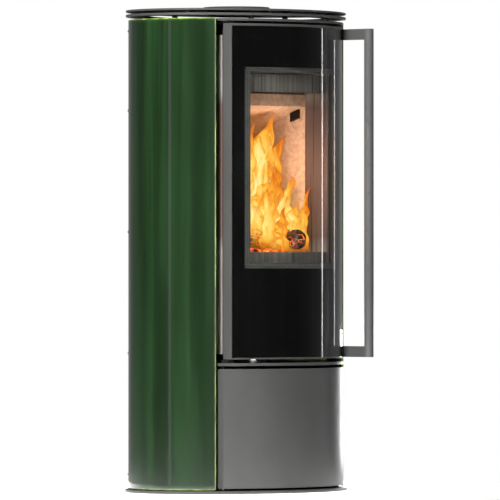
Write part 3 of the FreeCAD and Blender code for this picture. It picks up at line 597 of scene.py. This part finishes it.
def front_plates():
    """Rounded edges on the shelf and trim plates, whose outlines are front and rear arcs joined by the
    straight sides: a bevel on each CAD node.
    """
    for label in ("shelf_plate", "top_trim_plate"):
        bevel(nodes[label], 0.0012, 3)


# ---------------------------------------------------------------- fire door
def door_glazing():
    """Curved glass pane."""
    label = "door_glass"
    half, z0, z1 = high(label)[0], low(label)[2], high(label)[2]
    pane = sweep(front_arc(-half, half, 160), bar(-GLASS_SKIN, 0, z0, z1))
    obj = stands_for("door_pane_curved", label, pane)
    bevel(obj, 0.0006, 2, 60)
    bevel(nodes["door_frame"], 0.0005, 2)


def window_rope():
    """Flattened rope round the window: an ellipse of half sizes (a, b) carried round a rounded
    rectangle in (arc length, height), then wrapped on the front arc."""
    label = "window_gasket"
    lo, hi = low(label), high(label)
    width = 0.0172
    a, b = width / 2, 0.0021
    depth = 0.0075
    half, z0, z1 = hi[0] - a, lo[2] + a, hi[2] - a
    half = FRONT_R * math.asin(half / FRONT_R)
    corner = 0.006
    path, normal = [], []
    for cx, cz, a0 in ((half - corner, z1 - corner, 0), (-half + corner, z1 - corner, 90),
                       (-half + corner, z0 + corner, 180), (half - corner, z0 + corner, 270)):
        for k in range(9):
            q = math.radians(a0 + 90 * k / 8)
            path.append((cx + corner * math.cos(q), cz + corner * math.sin(q)))
            normal.append((math.cos(q), math.sin(q)))
    dense_p, dense_n = [], []
    for k in range(len(path)):
        p, q = np.array(path[k]), np.array(path[(k + 1) % len(path)])
        n, m = np.array(normal[k]), np.array(normal[(k + 1) % len(path)])
        bits = max(1, int(np.linalg.norm(q - p) / 0.008))
        for j in range(bits):
            f = j / bits
            dense_p.append(p + f * (q - p))
            dense_n.append(n + f * (m - n))
    p, n = np.array(dense_p), np.array(dense_n)
    n /= np.linalg.norm(n, axis=1)[:, None]
    s = np.concatenate([[0], np.cumsum(np.linalg.norm(np.diff(p, axis=0), axis=1))])
    rounds = np.linspace(0, 2 * math.pi, 20, endpoint=False)
    u = p[:, None, 0] + a * np.cos(rounds)[None] * n[:, None, 0]
    z = p[:, None, 1] + a * np.cos(rounds)[None] * n[:, None, 1]
    off = -depth + b * np.sin(rounds)[None] + 0 * u
    turn = u / FRONT_R
    radius = FRONT_R + off
    verts = np.stack([radius * np.sin(turn), FRONT_C - radius * np.cos(turn), z], 2).reshape(-1, 3)
    faces = outward(verts, grid_faces(len(p), 20, closed_rows=True))
    along = np.repeat(s, 20)
    around = np.tile(rounds / (2 * math.pi), len(p))
    stands_for("window_rope_braided", label, (verts, faces), 180, along=along, around=around)


def handle():
    """Round bar with turned ends, and fine edges on its brackets."""
    lo, hi = low("handle_bar"), high("handle_bar")
    c, r = (lo + hi) / 2, (hi[0] - lo[0]) / 2
    e = 0.0012
    profile = [(0, lo[2]), (r - e, lo[2]), (r - 0.3 * e, lo[2] + 0.3 * e), (r, lo[2] + e), (r, hi[2] - e),
               (r - 0.3 * e, hi[2] - 0.3 * e), (r - e, hi[2]), (0, hi[2])]
    stands_for("handle_bar_round", "handle_bar", lathe(profile, c[:2], 72))
    bevel(nodes["handle_brackets"], 0.0007, 3)


# ---------------------------------------------------------------- fire
def wobble(points, scale, seed):
    """Smooth made-up noise: a sum of sines of the position at three frequencies."""
    g = np.random.default_rng(seed)
    total = np.zeros(len(points))
    for octave in range(4):
        k = g.normal(size=(3, 3)) * scale * 1.9 ** octave
        phase = g.uniform(0, 6.28, 3)
        total += np.sin(points @ k.T + phase).sum(1) / 3 / 1.7 ** octave
    return total


def logs():
    """Each log is a cylinder along its own axis whose radius varies as r*(1 + a*noise), with rounded ends."""
    for seed, label in ((3, "log_front"), (8, "log_rear")):
        lo, hi = low(label), high(label)
        c = (lo + hi) / 2
        radius = (hi[2] - lo[2]) / 2
        length = max(hi[0] - lo[0], hi[1] - lo[1]) - 0.006
        t = np.linspace(-1, 1, 90)
        a = np.linspace(0, 2 * math.pi, 72, endpoint=False)
        slope = math.radians(4 if label == "log_front" else 87)
        ends = np.sqrt(np.clip(1 - np.clip((np.abs(t) - 0.93) / 0.07, 0, 1) ** 2 * 0.75, 0, 1))
        base = np.stack([np.repeat(t * length / 2, 72),
                         np.tile(np.cos(a), 90) * radius, np.tile(np.sin(a), 90) * radius], 1)
        ridge = wobble(base * [0.35, 1, 1], 90, seed) * 0.055 + wobble(base, 260, seed + 1) * 0.02
        r = radius * (0.90 + ridge) * np.repeat(ends, 72)
        ang = np.tile(a, 90)
        x, y, z = base[:, 0], r * np.cos(ang), r * np.sin(ang)
        verts = np.stack([c[0] + x * math.cos(slope) - y * math.sin(slope),
                          c[1] + x * math.sin(slope) + y * math.cos(slope), c[2] + z], 1)
        rings = grid_faces(90, 72)
        faces = rings + [list(range(72)), list(range(90 * 72 - 1, 89 * 72 - 1, -1))]
        stands_for(label + "_bark", label, (verts, outward(verts, faces)), 50)


def embers():
    """A heap of coals: noisy blobs r*(1 + a*noise) scattered over the mound."""
    lo, hi = low("ember_bed"), high("ember_bed")
    c = (lo + hi) / 2
    verts, faces = [], []
    rows, cols = 9, 12
    th = np.linspace(0, math.pi, rows)[1:-1]
    ph = np.linspace(0, 2 * math.pi, cols, endpoint=False)
    for k in range(110):
        q = rng.uniform(0, 2 * math.pi)
        f = math.sqrt(rng.uniform(0, 1)) * 0.92
        x = c[0] + f * math.cos(q) * (hi[0] - lo[0]) / 2
        y = c[1] + f * math.sin(q) * (hi[1] - lo[1]) / 2
        r = rng.uniform(0.006, 0.013)
        z = lo[2] + r * 0.8 + (1 - f * f) * (hi[2] - lo[2]) * 0.35
        unit = np.array([[0, 0, 1]] + [[math.sin(a) * math.cos(b), math.sin(a) * math.sin(b), math.cos(a)]
                                       for a in th for b in ph] + [[0, 0, -1]])
        bumpy = 1 + 0.28 * wobble(unit, 1.8, 100 + k)
        pts = unit * bumpy[:, None] * r * [1.25, 1, 0.8] + [x, y, z]
        start = len(verts)
        verts += pts.tolist()
        body = grid_faces(rows - 2, cols)
        some = [[start + 1 + i for i in f4] for f4 in body]
        last = start + 1 + (rows - 2) * cols
        for j in range(cols):
            some.append([start, start + 1 + j, start + 1 + (j + 1) % cols])
            some.append([last, last - cols + (j + 1) % cols, last - cols + j])
        faces += [list(reversed(f4)) for f4 in some]
    check = outward(verts[:1 + (rows - 2) * cols + 1], faces[:(rows - 3) * cols + 2 * cols])
    if check[0] != faces[0]:
        faces = [list(reversed(f4)) for f4 in faces]
    bed = np.array(verts)
    bed[:, 2] = np.maximum(bed[:, 2], lo[2])
    stands_for("ember_heap", "ember_bed", (bed, faces), 60)


def flames():
    """Tongues of flame. Each is a tube of oval section about a rising, swaying centre line; its half
    width is w * (t + 0.05)^0.3 * (1 - t)^0.75, where t is the share of its height."""
    base = high("ember_bed")[2]
    spec = [  # x, y, height, width, lean in x, sway
        (0.004, -0.045, 0.345, 0.135, 0.070, 0.9), (0.050, -0.050, 0.270, 0.150, 0.020, 2.2),
        (0.045, -0.030, 0.290, 0.100, 0.100, 0.2), (0.088, -0.060, 0.190, 0.100, 0.020, 3.9),
        (0.116, -0.075, 0.130, 0.070, 0.015, 1.1), (0.142, -0.095, 0.165, 0.045, 0.006, 3.0),
        (-0.030, -0.050, 0.315, 0.100, 0.030, 0.4), (-0.075, -0.030, 0.290, 0.100, 0.020, 5.1),
        (-0.112, -0.020, 0.210, 0.080, 0.010, 1.3), (-0.050, 0.005, 0.300, 0.105, 0.040, 4.0),
        (0.020, 0.010, 0.300, 0.105, 0.040, 5.7), (0.080, 0.000, 0.230, 0.095, 0.020, 0.1),
        (-0.090, -0.080, 0.150, 0.065, 0.010, 4.4), (0.005, -0.088, 0.200, 0.070, 0.030, 1.7),
        (0.062, -0.092, 0.115, 0.065, 0.005, 2.6),
    ]
    rows, cols = 44, 20
    t = np.linspace(0.004, 0.996, rows)
    a = np.linspace(0, 2 * math.pi, cols, endpoint=False)
    verts, faces, rise, heart = [], [], [], []
    for x0, y0, tall, wide, lean, phase in spec:
        sway = 0.020 * np.sin(5.2 * t + phase) * t + 0.008 * np.sin(13 * t + 2 * phase) * t
        cx = x0 + lean * t ** 1.4 + sway
        cy = y0 + 0.012 * np.sin(4.1 * t + phase * 1.7) * t
        cz = base - 0.010 + tall * t
        w = wide * 0.62 * (t + 0.05) ** 0.3 * (1 - t) ** 0.75 * (1 + 0.28 * np.sin(10 * t + phase))
        d = w * 0.45
        ragged = 1 + 0.32 * np.sin(2 * a[None] + 9 * t[:, None] + phase) * np.sin(23 * t[:, None] + 2 * phase)
        x = cx[:, None] + w[:, None] * ragged * np.cos(a)[None]
        y = cy[:, None] + d[:, None] * ragged * np.sin(a)[None]
        z = np.broadcast_to(cz[:, None], x.shape)
        start = len(verts)
        verts += np.stack([x, y, z], 2).reshape(-1, 3).tolist()
        some = grid_faces(rows, cols)
        some += [list(range(cols)), list(range(rows * cols - 1, (rows - 1) * cols - 1, -1))]
        faces += [[start + i for i in f] for f in outward(verts[start:], some)]
        rise += np.repeat(t, cols).tolist()
        heart += np.full(rows * cols, 0.75 + 0.3 * math.sin(phase * 2)).tolist()
    make("flames", verts, faces, "stove_body", None, fire_gas(), (), 180, rise=rise, heart=heart)


side_panels()
plates()
front_plates()
door_glazing()
window_rope()
handle()
logs()
embers()
flames()
for label in ("lining_left", "lining_right", "lining_back", "baffle_plate", "hearth_bricks"):
    bevel(nodes[label], 0.002, 2)
for label in ("firebox_front", "log_retainer", "air_deflector", "grate", "flue_spigot", "ash_pan"):
    bevel(nodes[label], 0.0006, 2)


# ---------------------------------------------------------------- room, light and camera
VIEW = math.radians(49)
towards = Vector((-math.sin(VIEW), -math.cos(VIEW), 0))
across = Vector((math.cos(VIEW), -math.sin(VIEW), 0))


def floor():
    """Pale round floor just under the base plate."""
    mesh = bpy.data.meshes.new("floor")
    turns = [2 * math.pi * k / 96 for k in range(96)]
    rim = [(FLOOR_RADIUS * math.cos(a), FLOOR_RADIUS * math.sin(a), -0.0004) for a in turns]
    mesh.from_pydata(rim, [], [tuple(range(96))])
    obj = bpy.data.objects.new("floor", mesh)
    bpy.context.scene.collection.objects.link(obj)
    mat, t, s, w, _ = surface("pale_floor", Roughness=0.85)
    put(t, s, Base_Color=ramp(t, noise(t, w, 3, 2), (0.3, "fafafa"), (0.7, "ffffff")))
    mesh.materials.append(mat)


def soft_light(name, angle, distance, height, width, tall, power, colour="ffffff"):
    """Upright soft box standing at a plan angle round the stove and facing it."""
    data = bpy.data.lights.new(name, "AREA")
    data.shape, data.size, data.size_y, data.energy = "RECTANGLE", width, tall, power
    data.color = srgb(colour)[:3]
    obj = bpy.data.objects.new(name, data)
    bpy.context.scene.collection.objects.link(obj)
    a = math.radians(angle)
    obj.location = (distance * math.cos(a), distance * math.sin(a), height)
    obj.rotation_mode = "QUATERNION"
    obj.rotation_quaternion = (Vector((0, 0, 0.6)) - obj.location).to_track_quat("-Z", "Y")
    obj.visible_camera = False
    return obj


SOFT_BOXES = (  # (name, plan angle, distance, height, width, tall, power), seen in reflections
    (("key_left", 204, 3.2, 1.2, 0.7, 2.4, 540), False),
    (("strip_right", 237, 3.8, 0.9, 0.22, 3.0, 7), True),
    (("strip_side", 169, 3.6, 0.9, 0.3, 2.8, 1.8), True),
    (("line_one", 337, 3.5, 0.8, 0.04, 2.6, 3), True),
    (("line_two", 358, 3.5, 0.8, 0.04, 2.6, 1.6), True),
    (("rim_low", 28, 1.4, 0.2, 1.0, 0.36, 10), True),
    (("fill_right", 50, 3.4, 1.3, 1.2, 2.2, 220), False),
)


def lights():
    """Soft boxes round the stove, the glow of its fire, and a dim room that is white behind it."""
    for box, reflected in SOFT_BOXES:
        soft_light(*box).visible_glossy = reflected
    over = soft_light("overhead", 0, 0.01, 4.5, 5, 5, 260)
    over.visible_glossy = False
    over.rotation_quaternion = (1, 0, 0, 0)
    fire = bpy.data.lights.new("fire_glow", "POINT")
    fire.energy, fire.shadow_soft_size, fire.color = 1.7, 0.05, srgb("ffd2ae")[:3]
    lamp = bpy.data.objects.new("fire_glow", fire)
    lamp.location = (0.02, -0.12, high("ember_bed")[2] + 0.2)
    lamp.visible_camera = lamp.visible_glossy = lamp.visible_transmission = False
    bpy.context.scene.collection.objects.link(lamp)
    world = bpy.data.worlds.new("studio")
    bpy.context.scene.world = world
    world.use_nodes = True
    t = world.node_tree
    t.nodes.clear()
    where = add(t, "TexCoord").outputs["Generated"]
    away = add(t, "VectorMath", {0: where, 1: tuple(-towards)}, operation="DOT_PRODUCT").outputs["Value"]
    tone = add(t, "MapRange", {"Value": away, 1: -1.0, 2: 1.0, 3: 0.0, 4: 1.0}).outputs[0]
    room = ramp(t, tone, (0.0, "202020"), (0.5, "2c2c2c"), (0.7, "3c3c3c"), (0.88, "5c5c5c"),
                (0.95, "7c7c7c"), (1.0, "9c9c9c"))
    lit = add(t, "Background", {"Color": room, "Strength": 1.0})
    plain = add(t, "Background", {"Color": (1, 1, 1, 1), "Strength": 1.0})
    path = add(t, "LightPath").outputs["Is Camera Ray"]
    both = add(t, "MixShader", {0: path, 1: lit.outputs[0], 2: plain.outputs[0]})
    add(t, "OutputWorld", {"Surface": both.outputs[0]})


def camera():
    """Level camera to the front left."""
    data = bpy.data.cameras.new("camera")
    data.lens, data.sensor_width = 500, 36
    cam = bpy.data.objects.new("camera", data)
    bpy.context.scene.collection.objects.link(cam)
    cam.location = towards * CAMERA_DISTANCE + Vector((0, 0, CAMERA_HEIGHT))
    aim = across * AIM_RIGHT + Vector((0, 0, AIM_HEIGHT))
    cam.rotation_mode = "QUATERNION"
    cam.rotation_quaternion = (aim - cam.location).to_track_quat("-Z", "Y")
    data.clip_start, data.clip_end = 0.5, 200
    bpy.context.scene.camera = cam


floor()
lights()
camera()
bpy.context.scene.view_settings.view_transform = "Standard"
